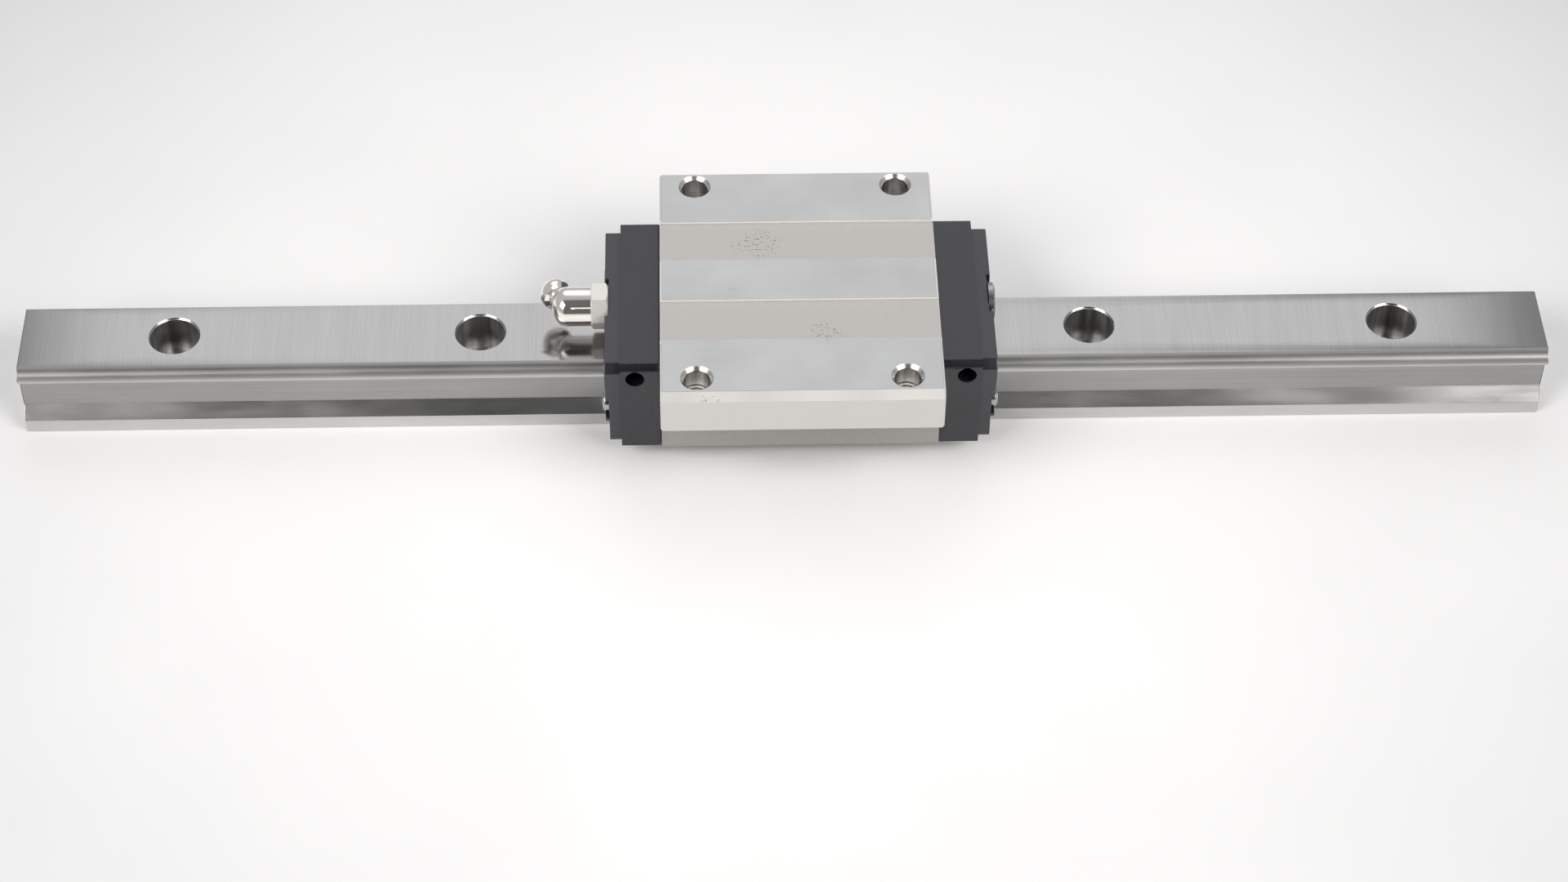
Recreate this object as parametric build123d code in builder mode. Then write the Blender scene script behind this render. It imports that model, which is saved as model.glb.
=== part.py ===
"""Ball-type linear guide, size 20: a flanged carriage on a 300 mm length of rail.

Frame: X along the rail, Y across it, Z up. The origin is the middle of the rail's underside.
"Left" is the -X end, "front" is the -Y side. All sizes are in millimetres.
"""

from build123d import *
import math
import os

# ---------------------------------------------------------------- rail
RAIL_LENGTH = 300.0
RAIL_WIDTH = 20.0
RAIL_HEIGHT = 16.3
RAIL_WAIST = 15.2  # width of the neck under the head
RAIL_BASE_HEIGHT = 3.1  # straight side above the mounting face
RAIL_PITCH = 60.0
RAIL_HOLES = 5
RAIL_BOLT_D = 6.0
RAIL_BORE_D = 9.5
RAIL_BORE_DEPTH = 8.5
RIDGE_TOP = 14.2  # the straight band between the two ball grooves
RIDGE_BOTTOM = 13.6
EDGE_BREAK = 0.3
SAME_SIZE = 0.01  # two radii this close are the same

# ---------------------------------------------------------------- balls and their rows
BALL_D = 3.969  # 5/32 inch
BALLS_PER_ROW = 29
GROOVE_R = 2.10
GROOVE_GAP = 0.05  # left between each ball and its grooves
CHANNEL_R = 2.20
GROOVE_SHIFT = (GROOVE_R - BALL_D / 2 - GROOVE_GAP) / math.sqrt(2)
ROW_Y = RAIL_WIDTH / 2 - GROOVE_SHIFT
ROW_UPPER_Z = RIDGE_TOP + GROOVE_R - GROOVE_SHIFT
ROW_LOWER_Z = RIDGE_BOTTOM - GROOVE_R + GROOVE_SHIFT
ROW_MIDDLE_Z = (RIDGE_TOP + RIDGE_BOTTOM) / 2
RETURN_Y = 15.9
RETURN_UPPER_Z = 18.9
RETURN_LOWER_Z = 9.5
TUBE_OUTER_R = 2.65
GUIDE_HALF_WIDTH = 2.0

# ---------------------------------------------------------------- runner block
CARRIAGE_X = 2.46  # the block's middle at rest
BLOCK_LENGTH = 54.0
BLOCK_WIDTH = 63.0
BLOCK_TOP = 30.0
BLOCK_BOTTOM = 5.3
BODY_WIDTH = 42.7
FLANGE_THICKNESS = 9.5
FLANGE_CHAMFER = 1.5
END_CHAMFER = 0.4
BOLT_SPACING_X = 40.0
BOLT_SPACING_Y = 53.0
BOLT_CORE_R = 2.5  # M6, tap drill
BOLT_MOUTH_R = 3.15
BAND_INNER_Y = 5.5  # the two shallow bands along the top
BAND_OUTER_Y = 16.3
BAND_DEPTH = 0.5
CEILING_Z = 19.0
CEILING_HALF = 8.9
ROW_WALL_Y = 11.6  # wall between the two grooves
LEG_LEDGE_Z = 9.0
LEG_WALL_Y = 10.4
LEG_WALL_Z = 8.2
GROOVE_LIP_DEG = 97.0  # how far round each groove reaches

# ---------------------------------------------------------------- ball retainers, as (y, z) outlines
TOP_RETAINER = [(7.8, 16.9), (8.0, 17.4), (8.7, 18.6), (8.7, CEILING_Z)]  # one half
SIDE_RETAINER_Y = 10.4
SIDE_RETAINER_NOSE = 0.25  # half heights at the nose and at the wall
SIDE_RETAINER_FOOT = 0.85
LOWER_RETAINER_TIP = [(8.2, 8.2), (8.2, 10.1), (8.5, 10.1)]
LOWER_RETAINER_STEP = 0.2
LOWER_RETAINER_BOTTOM = 7.2
LOWER_RETAINER_TOE_Y = 9.2

# ---------------------------------------------------------------- end caps
CAP_THICKNESS = 7.8
CAP_WIDTH = 40.7
CAP_TOP = 26.6
CAP_BOTTOM = 4.7
CAP_CHAMFER = 1.0
CAP_CLEARANCE = 0.5
SIDE_PORT_D = 3.5
SIDE_PORT_Z = 23.3
SIDE_PORT_INSET = 2.9
SIDE_PORT_DEPTH = 5.0
OIL_GROOVE_WIDTH = 1.2
OIL_GROOVE_DEPTH = 0.8
OIL_GROOVE_STOP = 5.0  # left between the side grooves and the screws

# ---------------------------------------------------------------- end seals
PLATE_THICKNESS = 2.3
PAD_THICKNESS = 0.7
PLATE_HALF = 19.5
PLATE_TOP = 25.6
PLATE_BOTTOM = 5.7
PLATE_CHAMFER = 1.5
PAD_BOTTOM = 11.0
PAD_PORT_HALF = 5.0
PAD_NOTCH_HALF = 2.4
LIP_CLEARANCE = 0.10
LIP_HEIGHT = 1.3
LIP_BOTTOM = 5.9
BOTTOM_SEAL_INNER = 9.0
BOTTOM_SEAL_OUTER = 19.0
BOTTOM_SEAL_THICKNESS = 0.5

# ---------------------------------------------------------------- cap screws
SCREW_Y = 17.0
SCREW_Z = 14.2
SCREW_R = 1.5
SCREW_HOLE_GAP = 0.02
SCREW_HEAD_R = 2.0
SCREW_HEAD_HEIGHT = 1.2
SCREW_LENGTH = 16.0
SCREW_HOLE_SPARE = 2.0
RECESS_WIDTH = 0.6
RECESS_LENGTH = 2.2
RECESS_DEPTH = 0.8

# ---------------------------------------------------------------- grease port, nipple and plug
PORT_Z = 23.1
PORT_R = 2.0  # M4
PORT_GAP = 0.02
STUB_LENGTH = 7.5
HEX_WIDTH = 8.0
HEX_LENGTH = 3.4
HEX_FACE_R = 3.85  # the hexagon's ends are turned down to this by a 30 degree cone
ELBOW_R = 3.85
ELBOW_LENGTH = 7.3
ELBOW_ROUND = 2.6
ELBOW_INSET = 3.25  # from the elbow's rounded end back to where the two axes cross
GREASE_BORE_R = 1.1
PLUG_HEAD_HEIGHT = 1.2
PLUG_KEY_WIDTH = 2.0
PLUG_KEY_DEPTH = 2.0

# The nipple's head, measured along its own axis from where the two axes cross
HEAD_ANGLE_DEG = 130.0  # from +X, in the horizontal plane
NECK_R = 2.0
SEAT_START = 2.2
SEAT_R = 3.3
COLLAR_R = 2.9
COLLAR_END = 2.8
WAIST_END = 3.5
HEAD_R = 3.05
HEAD_CONE_END = 4.3
HEAD_BAND_END = 4.9
HEAD_DOME_R = 2.65
HEAD_END = 7.2
HEAD_FACE_R = 1.5
HEAD_BORE_R = 1.0
VALVE_WALL = 1.6  # thickness of the head's nose in front of the valve
VALVE_OPENING_R = 0.55
CHECK_BALL_R = 0.8
SPRING_START = 1.0
SPRING_PITCH = 0.75
SPRING_R = 0.72
SPRING_WIRE_R = 0.13

SIDES = {"front": -1, "back": 1}
ENDS = {"left": -1, "right": 1}

os.makedirs("parts", exist_ok=True)


# ================================================================ shared geometry
def end_plane(end, out=0.0):
    """The YZ plane at one end of the block, its normal pointing away from the block."""
    x = CARRIAGE_X + end * (BLOCK_LENGTH / 2 + out)
    return Plane(origin=(x, 0, 0), x_dir=(0, end, 0), z_dir=(end, 0, 0))


def section_plane(x):
    """A YZ section plane that looks along +X."""
    return Plane(origin=(x, 0, 0), x_dir=(0, 1, 0), z_dir=(1, 0, 0))


def row_of(level, side):
    """Where one ball row runs: its loaded line and its return line, as (y, z) points."""
    loaded_z = ROW_UPPER_Z if level == "upper" else ROW_LOWER_Z
    return_z = RETURN_UPPER_Z if level == "upper" else RETURN_LOWER_Z
    return (side * ROW_Y, loaded_z), (side * RETURN_Y, return_z)


def turn_of(level, side):
    """The turn between the two lines: its middle, its radius and the unit direction across it."""
    loaded, back = row_of(level, side)
    span_y = back[0] - loaded[0]
    span_z = back[1] - loaded[1]
    span = math.hypot(span_y, span_z)
    middle = ((loaded[0] + back[0]) / 2, (loaded[1] + back[1]) / 2)
    return middle, span / 2, (span_y / span, span_z / span)


ROWS = [(level, name, side) for level in ("upper", "lower") for name, side in SIDES.items()]


def ball_centres(level, side):
    """Ball centres evenly spaced round one endless row."""
    loaded, back = row_of(level, side)
    middle, radius, across = turn_of(level, side)
    half = BLOCK_LENGTH / 2
    turn = math.pi * radius
    lap = 2 * (BLOCK_LENGTH + turn)
    centres = []
    for index in range(BALLS_PER_ROW):
        along = index * lap / BALLS_PER_ROW
        if along < BLOCK_LENGTH:
            x, y, z = along - half, *loaded
        elif along < BLOCK_LENGTH + turn:
            angle = (along - BLOCK_LENGTH) / radius
            x = half + radius * math.sin(angle)
            y = middle[0] - radius * math.cos(angle) * across[0]
            z = middle[1] - radius * math.cos(angle) * across[1]
        elif along < 2 * BLOCK_LENGTH + turn:
            x, y, z = half - (along - BLOCK_LENGTH - turn), *back
        else:
            angle = (along - 2 * BLOCK_LENGTH - turn) / radius
            x = -half - radius * math.sin(angle)
            y = middle[0] + radius * math.cos(angle) * across[0]
            z = middle[1] + radius * math.cos(angle) * across[1]
        centres.append((CARRIAGE_X + x, y, z))
    return centres


def groove_arc(centre, start_deg, end_deg, radius):
    """A concave ball groove, from one angle round its centre to another, as points on the arc."""
    middle_deg = (start_deg + end_deg) / 2
    points = []
    for angle in (start_deg, middle_deg, end_deg):
        turn = math.radians(angle)
        points.append((centre[0] + radius * math.cos(turn), centre[1] + radius * math.sin(turn)))
    return points


def rail_section(plane, grow=0.0):
    """The rail's cross-section on the given plane, grown all round by a clearance."""
    half = RAIL_WIDTH / 2
    waist = RAIL_WAIST / 2 + grow
    radius = GROOVE_R - grow
    upper = (half, RIDGE_TOP + GROOVE_R)
    lower = (half, RIDGE_BOTTOM - GROOVE_R)
    reach = math.degrees(math.asin(grow / radius))
    crown = math.degrees(math.asin((RAIL_HEIGHT + grow - upper[1]) / radius))
    upper_arc = groove_arc(upper, 180 - crown, 270 + reach, radius)
    lower_arc = groove_arc(lower, 90 - reach, 180, radius)
    with BuildSketch(plane) as section:
        with BuildLine():
            Line((0, RAIL_HEIGHT + grow), upper_arc[0])
            ThreePointArc(*upper_arc)
            Line(upper_arc[2], lower_arc[0])
            ThreePointArc(*lower_arc)
            Polyline(
                lower_arc[2],
                (waist, lower[1] - (lower_arc[2][0] - waist)),
                (waist, RAIL_BASE_HEIGHT + half + grow - waist),
                (half + grow, RAIL_BASE_HEIGHT),
                (half + grow, EDGE_BREAK),
                (half + grow - EDGE_BREAK, 0),
                (0, 0),
                (0, RAIL_HEIGHT + grow),
            )
        make_face()
        mirror(about=Plane.YZ)
    return section.sketch


def lip_seat(plane):
    """The opening in a seal plate that the rubber lip fills: the rail's outline, simplified."""
    half = RAIL_WIDTH / 2 + LIP_HEIGHT
    waist = RAIL_WAIST / 2 + LIP_HEIGHT
    top = RAIL_HEIGHT + LIP_HEIGHT
    with BuildSketch(plane) as seat:
        with BuildLine():
            Polyline(
                (0, top),
                (half - LIP_HEIGHT, top),
                (half, top - LIP_HEIGHT),
                (half, RIDGE_BOTTOM),
                (waist, RIDGE_BOTTOM - (half - waist)),
                (waist, 0),
                (0, 0),
                close=True,
            )
        make_face()
        mirror(about=Plane.YZ)
    return seat.sketch


# ================================================================ rail
def make_rail():
    first_hole = -RAIL_PITCH * (RAIL_HOLES - 1) / 2
    with BuildPart() as rail:
        extrude(rail_section(section_plane(-RAIL_LENGTH / 2)), amount=RAIL_LENGTH)
        outline = rail.edges().group_by(Axis.X)
        chamfer(outline[0] + outline[-1], EDGE_BREAK)
        for index in range(RAIL_HOLES):
            with Locations((first_hole + index * RAIL_PITCH, 0, RAIL_HEIGHT)):
                CounterBoreHole(RAIL_BOLT_D / 2, RAIL_BORE_D / 2, RAIL_BORE_DEPTH)
        mouths = rail.faces().sort_by(Axis.Z)[-1].edges().filter_by(GeomType.CIRCLE)
        chamfer(mouths, EDGE_BREAK)
    rail.part.label = "rail"
    export_step(rail.part, "parts/rail.step")


# ================================================================ runner block
def block_section(plane):
    """Half of the block's cross-section, mirrored: flange, legs and the channel for the rail."""
    half = BLOCK_WIDTH / 2
    body = BODY_WIDTH / 2
    flange_z = BLOCK_TOP - FLANGE_THICKNESS
    groove_y = ROW_Y - GROOVE_SHIFT
    upper_z = ROW_UPPER_Z - GROOVE_SHIFT
    lower_z = ROW_LOWER_Z + GROOVE_SHIFT
    lip = math.radians(GROOVE_LIP_DEG)
    lip_y = groove_y + GROOVE_R * math.cos(lip)
    lip_z = GROOVE_R * math.sin(lip)
    wall_z = math.sqrt(GROOVE_R**2 - (ROW_WALL_Y - groove_y) ** 2)
    mid_y = groove_y + GROOVE_R * math.cos(math.pi / 4)
    mid_z = GROOVE_R * math.sin(math.pi / 4)
    with BuildSketch(plane) as section:
        with BuildLine():
            Polyline(
                (lip_y, lower_z - lip_z),
                (lip_y, LEG_LEDGE_Z),
                (LEG_WALL_Y, LEG_WALL_Z),
                (LEG_WALL_Y, BLOCK_BOTTOM),
                (body - EDGE_BREAK, BLOCK_BOTTOM),
                (body, BLOCK_BOTTOM + EDGE_BREAK),
                (body, flange_z),
                (half - EDGE_BREAK, flange_z),
                (half, flange_z + EDGE_BREAK),
                (half, BLOCK_TOP - FLANGE_CHAMFER),
                (half - FLANGE_CHAMFER, BLOCK_TOP),
                (0, BLOCK_TOP),
                (0, CEILING_Z),
                (CEILING_HALF, CEILING_Z),
                (lip_y, upper_z + lip_z),
            )
            ThreePointArc(
                (lip_y, upper_z + lip_z),
                (mid_y, upper_z + mid_z),
                (ROW_WALL_Y, upper_z - wall_z),
            )
            Line((ROW_WALL_Y, upper_z - wall_z), (ROW_WALL_Y, lower_z + wall_z))
            ThreePointArc(
                (ROW_WALL_Y, lower_z + wall_z),
                (mid_y, lower_z - mid_z),
                (lip_y, lower_z - lip_z),
            )
        make_face()
        mirror(about=Plane.YZ)
    return section.sketch


def make_block():
    band_width = BAND_OUTER_Y - BAND_INNER_Y
    band_y = (BAND_OUTER_Y + BAND_INNER_Y) / 2
    flange_z = BLOCK_TOP - FLANGE_THICKNESS
    screw_depth = SCREW_LENGTH - CAP_THICKNESS - PLATE_THICKNESS + SCREW_HOLE_SPARE
    with BuildPart() as block:
        extrude(block_section(section_plane(CARRIAGE_X - BLOCK_LENGTH / 2)), amount=BLOCK_LENGTH)
        ends = block.edges().group_by(Axis.X)
        rims = ends[0] + ends[-1]
        chamfer(rims.filter_by(lambda e: e.center().Z > flange_z - EDGE_BREAK), END_CHAMFER)
        with BuildSketch(Plane.XY.offset(BLOCK_TOP - BAND_DEPTH)):
            with Locations((CARRIAGE_X, -band_y), (CARRIAGE_X, band_y)):
                Rectangle(BLOCK_LENGTH, band_width)
        extrude(amount=BAND_DEPTH, mode=Mode.SUBTRACT)
        with BuildSketch(section_plane(CARRIAGE_X - BLOCK_LENGTH / 2)):
            for level, _, side in ROWS:
                with Locations(row_of(level, side)[1]):
                    Circle(TUBE_OUTER_R)
        extrude(amount=BLOCK_LENGTH, mode=Mode.SUBTRACT)
        for end in ENDS.values():
            with BuildSketch(end_plane(end)):
                with Locations((-SCREW_Y, SCREW_Z), (SCREW_Y, SCREW_Z)):
                    Circle(SCREW_R + SCREW_HOLE_GAP)
            extrude(amount=-screw_depth, mode=Mode.SUBTRACT)
        with Locations(Plane.XY.offset(BLOCK_TOP)):
            with Locations((CARRIAGE_X, 0)):
                with GridLocations(BOLT_SPACING_X, BOLT_SPACING_Y, 2, 2):
                    Hole(BOLT_CORE_R)
        circles = block.edges().filter_by(GeomType.CIRCLE)
        mouths = circles.filter_by(lambda e: abs(e.radius - BOLT_CORE_R) < SAME_SIZE)
        chamfer(mouths, BOLT_MOUTH_R - BOLT_CORE_R)
    block.part.label = "block"
    export_step(block.part, "parts/block.step")


# ================================================================ ball rows, return tubes, turns
def turn_axis(level, side, end):
    """The axis that the balls turn about at one end, directed so that 180 degrees leads outwards."""
    middle, _, across = turn_of(level, side)
    x = end_plane(end).origin.X
    return Axis((x, middle[0], middle[1]), (0, -end * across[1], end * across[0]))


def add_turn_channel(level, side, end, mode):
    """The half-round tube that carries one row round at one end."""
    loaded = row_of(level, side)[0]
    with BuildSketch(end_plane(end)) as tube:
        with Locations((end * loaded[0], loaded[1])):
            Circle(CHANNEL_R)
    revolve(tube.sketch, axis=turn_axis(level, side, end), revolution_arc=180, mode=mode)


def add_turn_core(level, side, end, mode):
    """The half disc inside a turn, that its return guide fills."""
    middle, radius, across = turn_of(level, side)
    axis = turn_axis(level, side, end)
    start = axis.position - axis.direction * GUIDE_HALF_WIDTH
    plane = Plane(origin=start, x_dir=(0, -across[0], -across[1]), z_dir=axis.direction)
    with BuildSketch(plane) as half_disc:
        with BuildLine():
            CenterArc((0, 0), radius, 0, 180)
            Line((-radius, 0), (radius, 0))
        make_face()
    extrude(half_disc.sketch, amount=2 * GUIDE_HALF_WIDTH, mode=mode)


def make_return_guides():
    for end_name, end in ENDS.items():
        for level, side_name, side in ROWS:
            name = f"return_guide_{end_name}_{level}_{side_name}"
            with BuildPart() as guide:
                add_turn_core(level, side, end, Mode.ADD)
                add_turn_channel(level, side, end, Mode.SUBTRACT)
            guide.part.label = name
            export_step(guide.part, f"parts/{name}.step")


def make_return_tubes():
    for level, side_name, side in ROWS:
        name = f"return_tube_{level}_{side_name}"
        with BuildPart() as tube:
            with BuildSketch(section_plane(CARRIAGE_X - BLOCK_LENGTH / 2)):
                with Locations(row_of(level, side)[1]):
                    Circle(TUBE_OUTER_R)
                    Circle(CHANNEL_R, mode=Mode.SUBTRACT)
            extrude(amount=BLOCK_LENGTH)
        tube.part.label = name
        export_step(tube.part, f"parts/{name}.step")


def make_balls():
    for level, side_name, side in ROWS:
        name = f"balls_{level}_{side_name}"
        with BuildPart() as balls:
            with Locations(*ball_centres(level, side)):
                Sphere(BALL_D / 2)
        balls.part.label = name
        export_step(balls.part, f"parts/{name}.step")


# ================================================================ ball retainers
def make_strip(name, points):
    """A plastic strip of constant section, as long as the block, from its (y, z) corners."""
    with BuildPart() as strip:
        with BuildSketch(section_plane(CARRIAGE_X - BLOCK_LENGTH / 2)):
            with BuildLine():
                Polyline(*points, close=True)
            make_face()
        extrude(amount=BLOCK_LENGTH)
    strip.part.label = name
    export_step(strip.part, f"parts/{name}.step")


def make_retainers():
    mirrored = [(-y, z) for y, z in reversed(TOP_RETAINER)]
    make_strip("retainer_top", TOP_RETAINER + mirrored)
    ledge_y = ROW_Y - GROOVE_SHIFT + GROOVE_R * math.cos(math.radians(GROOVE_LIP_DEG))
    between = [
        (SIDE_RETAINER_Y, ROW_MIDDLE_Z - SIDE_RETAINER_NOSE),
        (ROW_WALL_Y, ROW_MIDDLE_Z - SIDE_RETAINER_FOOT),
        (ROW_WALL_Y, ROW_MIDDLE_Z + SIDE_RETAINER_FOOT),
        (SIDE_RETAINER_Y, ROW_MIDDLE_Z + SIDE_RETAINER_NOSE),
    ]
    below = LOWER_RETAINER_TIP + [
        (ledge_y, LEG_LEDGE_Z + LOWER_RETAINER_STEP),
        (ledge_y, LEG_LEDGE_Z),
        (LEG_WALL_Y, LEG_WALL_Z),
        (LEG_WALL_Y, LOWER_RETAINER_BOTTOM),
        (LOWER_RETAINER_TOE_Y, LOWER_RETAINER_BOTTOM),
    ]
    for side_name, side in SIDES.items():
        make_strip(f"retainer_side_{side_name}", [(side * y, z) for y, z in between])
        make_strip(f"retainer_lower_{side_name}", [(side * y, z) for y, z in below])


def make_bottom_seals():
    low = BLOCK_BOTTOM - BOTTOM_SEAL_THICKNESS
    for side_name, side in SIDES.items():
        corners = [
            (side * BOTTOM_SEAL_INNER, low),
            (side * BOTTOM_SEAL_OUTER, low),
            (side * BOTTOM_SEAL_OUTER, BLOCK_BOTTOM),
            (side * BOTTOM_SEAL_INNER, BLOCK_BOTTOM),
        ]
        make_strip(f"bottom_seal_{side_name}", corners)


# ================================================================ end caps
def shield_outline(half, bottom, top, corner):
    """A flat-bottomed outline with its two upper corners cut off."""
    Polyline(
        (-half, bottom),
        (half, bottom),
        (half, top - corner),
        (half - corner, top),
        (-half + corner, top),
        (-half, top - corner),
        close=True,
    )


def make_end_caps():
    oil_stop_z = SCREW_Z + OIL_GROOVE_STOP
    for end_name, end in ENDS.items():
        name = f"end_cap_{end_name}"
        port_x = CARRIAGE_X + end * (BLOCK_LENGTH / 2 + CAP_THICKNESS - SIDE_PORT_INSET)
        with BuildPart() as cap:
            with BuildSketch(end_plane(end)):
                with BuildLine():
                    shield_outline(CAP_WIDTH / 2, CAP_BOTTOM, CAP_TOP, CAP_CHAMFER)
                make_face()
            extrude(amount=CAP_THICKNESS)
            window = rail_section(end_plane(end), CAP_CLEARANCE)
            extrude(window, amount=CAP_THICKNESS, mode=Mode.SUBTRACT)
            for level, _, side in ROWS:
                add_turn_channel(level, side, end, Mode.SUBTRACT)
                add_turn_core(level, side, end, Mode.SUBTRACT)
            with BuildSketch(end_plane(end)):
                with Locations((-SCREW_Y, SCREW_Z), (SCREW_Y, SCREW_Z)):
                    Circle(SCREW_R + SCREW_HOLE_GAP)
                with Locations((0, PORT_Z)):
                    Circle(PORT_R + PORT_GAP)
            extrude(amount=CAP_THICKNESS, mode=Mode.SUBTRACT)
            with BuildSketch(end_plane(end)):
                with Locations((0, PORT_Z)):
                    Rectangle(2 * RETURN_Y, OIL_GROOVE_WIDTH)
                with Locations((-RETURN_Y, oil_stop_z), (RETURN_Y, oil_stop_z)):
                    Rectangle(OIL_GROOVE_WIDTH, 2 * (PORT_Z - oil_stop_z))
            extrude(amount=OIL_GROOVE_DEPTH, mode=Mode.SUBTRACT)
            for side in SIDES.values():
                face = Plane(origin=(port_x, side * CAP_WIDTH / 2, SIDE_PORT_Z), z_dir=(0, side, 0))
                with BuildSketch(face):
                    Circle(SIDE_PORT_D / 2)
                extrude(amount=-SIDE_PORT_DEPTH, mode=Mode.SUBTRACT)
        cap.part.label = name
        export_step(cap.part, f"parts/{name}.step")


# ================================================================ end seals
def make_seal_plates():
    for end_name, end in ENDS.items():
        name = f"seal_plate_{end_name}"
        with BuildPart() as plate:
            with BuildSketch(end_plane(end, CAP_THICKNESS)):
                with BuildLine():
                    shield_outline(PLATE_HALF, PLATE_BOTTOM, PLATE_TOP, PLATE_CHAMFER)
                make_face()
            extrude(amount=PLATE_THICKNESS)
            with BuildSketch(end_plane(end, CAP_THICKNESS + PLATE_THICKNESS)):
                with BuildLine():
                    shield_outline(PLATE_HALF, PAD_BOTTOM, PLATE_TOP, PLATE_CHAMFER)
                make_face()
                with Locations((0, PORT_Z)):
                    Circle(PAD_PORT_HALF, mode=Mode.SUBTRACT)
                with Locations((0, (PORT_Z + PLATE_TOP) / 2)):
                    Rectangle(2 * PAD_PORT_HALF, PLATE_TOP - PORT_Z, mode=Mode.SUBTRACT)
                for side in SIDES.values():
                    with Locations((side * SCREW_Y, SCREW_Z)):
                        Circle(PAD_NOTCH_HALF, mode=Mode.SUBTRACT)
                    with Locations((side * (SCREW_Y + PLATE_HALF) / 2, SCREW_Z)):
                        Rectangle(PLATE_HALF - SCREW_Y, 2 * PAD_NOTCH_HALF, mode=Mode.SUBTRACT)
            extrude(amount=PAD_THICKNESS)
            window = lip_seat(end_plane(end, CAP_THICKNESS))
            extrude(window, amount=PLATE_THICKNESS + PAD_THICKNESS, mode=Mode.SUBTRACT)
            with BuildSketch(end_plane(end, CAP_THICKNESS)):
                with Locations((-SCREW_Y, SCREW_Z), (SCREW_Y, SCREW_Z)):
                    Circle(SCREW_R + SCREW_HOLE_GAP)
                with Locations((0, PORT_Z)):
                    Circle(PORT_R + PORT_GAP)
            extrude(amount=PLATE_THICKNESS, mode=Mode.SUBTRACT)
        plate.part.label = name
        export_step(plate.part, f"parts/{name}.step")


def make_seal_lips():
    for end_name, end in ENDS.items():
        name = f"seal_lip_{end_name}"
        with BuildPart() as lip:
            with BuildSketch(end_plane(end, CAP_THICKNESS)):
                add(lip_seat(Plane.XY))
                add(rail_section(Plane.XY, LIP_CLEARANCE), mode=Mode.SUBTRACT)
                with Locations((0, LIP_BOTTOM - PLATE_TOP)):
                    Rectangle(2 * PLATE_HALF, 2 * PLATE_TOP, mode=Mode.SUBTRACT)
            extrude(amount=PLATE_THICKNESS + PAD_THICKNESS)
        lip.part.label = name
        export_step(lip.part, f"parts/{name}.step")


# ================================================================ cap screws
def make_cap_screws():
    seat = CAP_THICKNESS + PLATE_THICKNESS
    for end_name, end in ENDS.items():
        name = f"cap_screws_{end_name}"
        with BuildPart() as screws:
            with BuildSketch(end_plane(end, seat)):
                with Locations((-SCREW_Y, SCREW_Z), (SCREW_Y, SCREW_Z)):
                    Circle(SCREW_R)
            extrude(amount=-SCREW_LENGTH)
            with BuildSketch(end_plane(end, seat)):
                with Locations((-SCREW_Y, SCREW_Z), (SCREW_Y, SCREW_Z)):
                    Circle(SCREW_HEAD_R)
            extrude(amount=SCREW_HEAD_HEIGHT)
            crowns = screws.edges().filter_by(GeomType.CIRCLE).sort_by(Axis.X)
            rims = crowns[-2:] if end > 0 else crowns[:2]
            fillet(rims, SCREW_HEAD_HEIGHT / 2)
            with BuildSketch(end_plane(end, seat + SCREW_HEAD_HEIGHT)):
                with Locations((-SCREW_Y, SCREW_Z), (SCREW_Y, SCREW_Z)):
                    Rectangle(RECESS_LENGTH, RECESS_WIDTH)
                    Rectangle(RECESS_WIDTH, RECESS_LENGTH)
            extrude(amount=-RECESS_DEPTH, mode=Mode.SUBTRACT)
        screws.part.label = name
        export_step(screws.part, f"parts/{name}.step")


# ================================================================ grease nipple
def nipple_frame():
    """The head's plane: its origin is where the nipple's two axes cross, its normal is the head's axis."""
    seat_x = end_plane(-1, CAP_THICKNESS + PLATE_THICKNESS).origin.X
    crossing = Vector(seat_x - HEX_LENGTH - ELBOW_LENGTH + ELBOW_INSET, 0, PORT_Z)
    turn = math.radians(HEAD_ANGLE_DEG)
    return Plane(origin=crossing, x_dir=(0, 0, 1), z_dir=(math.cos(turn), math.sin(turn), 0))


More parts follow.
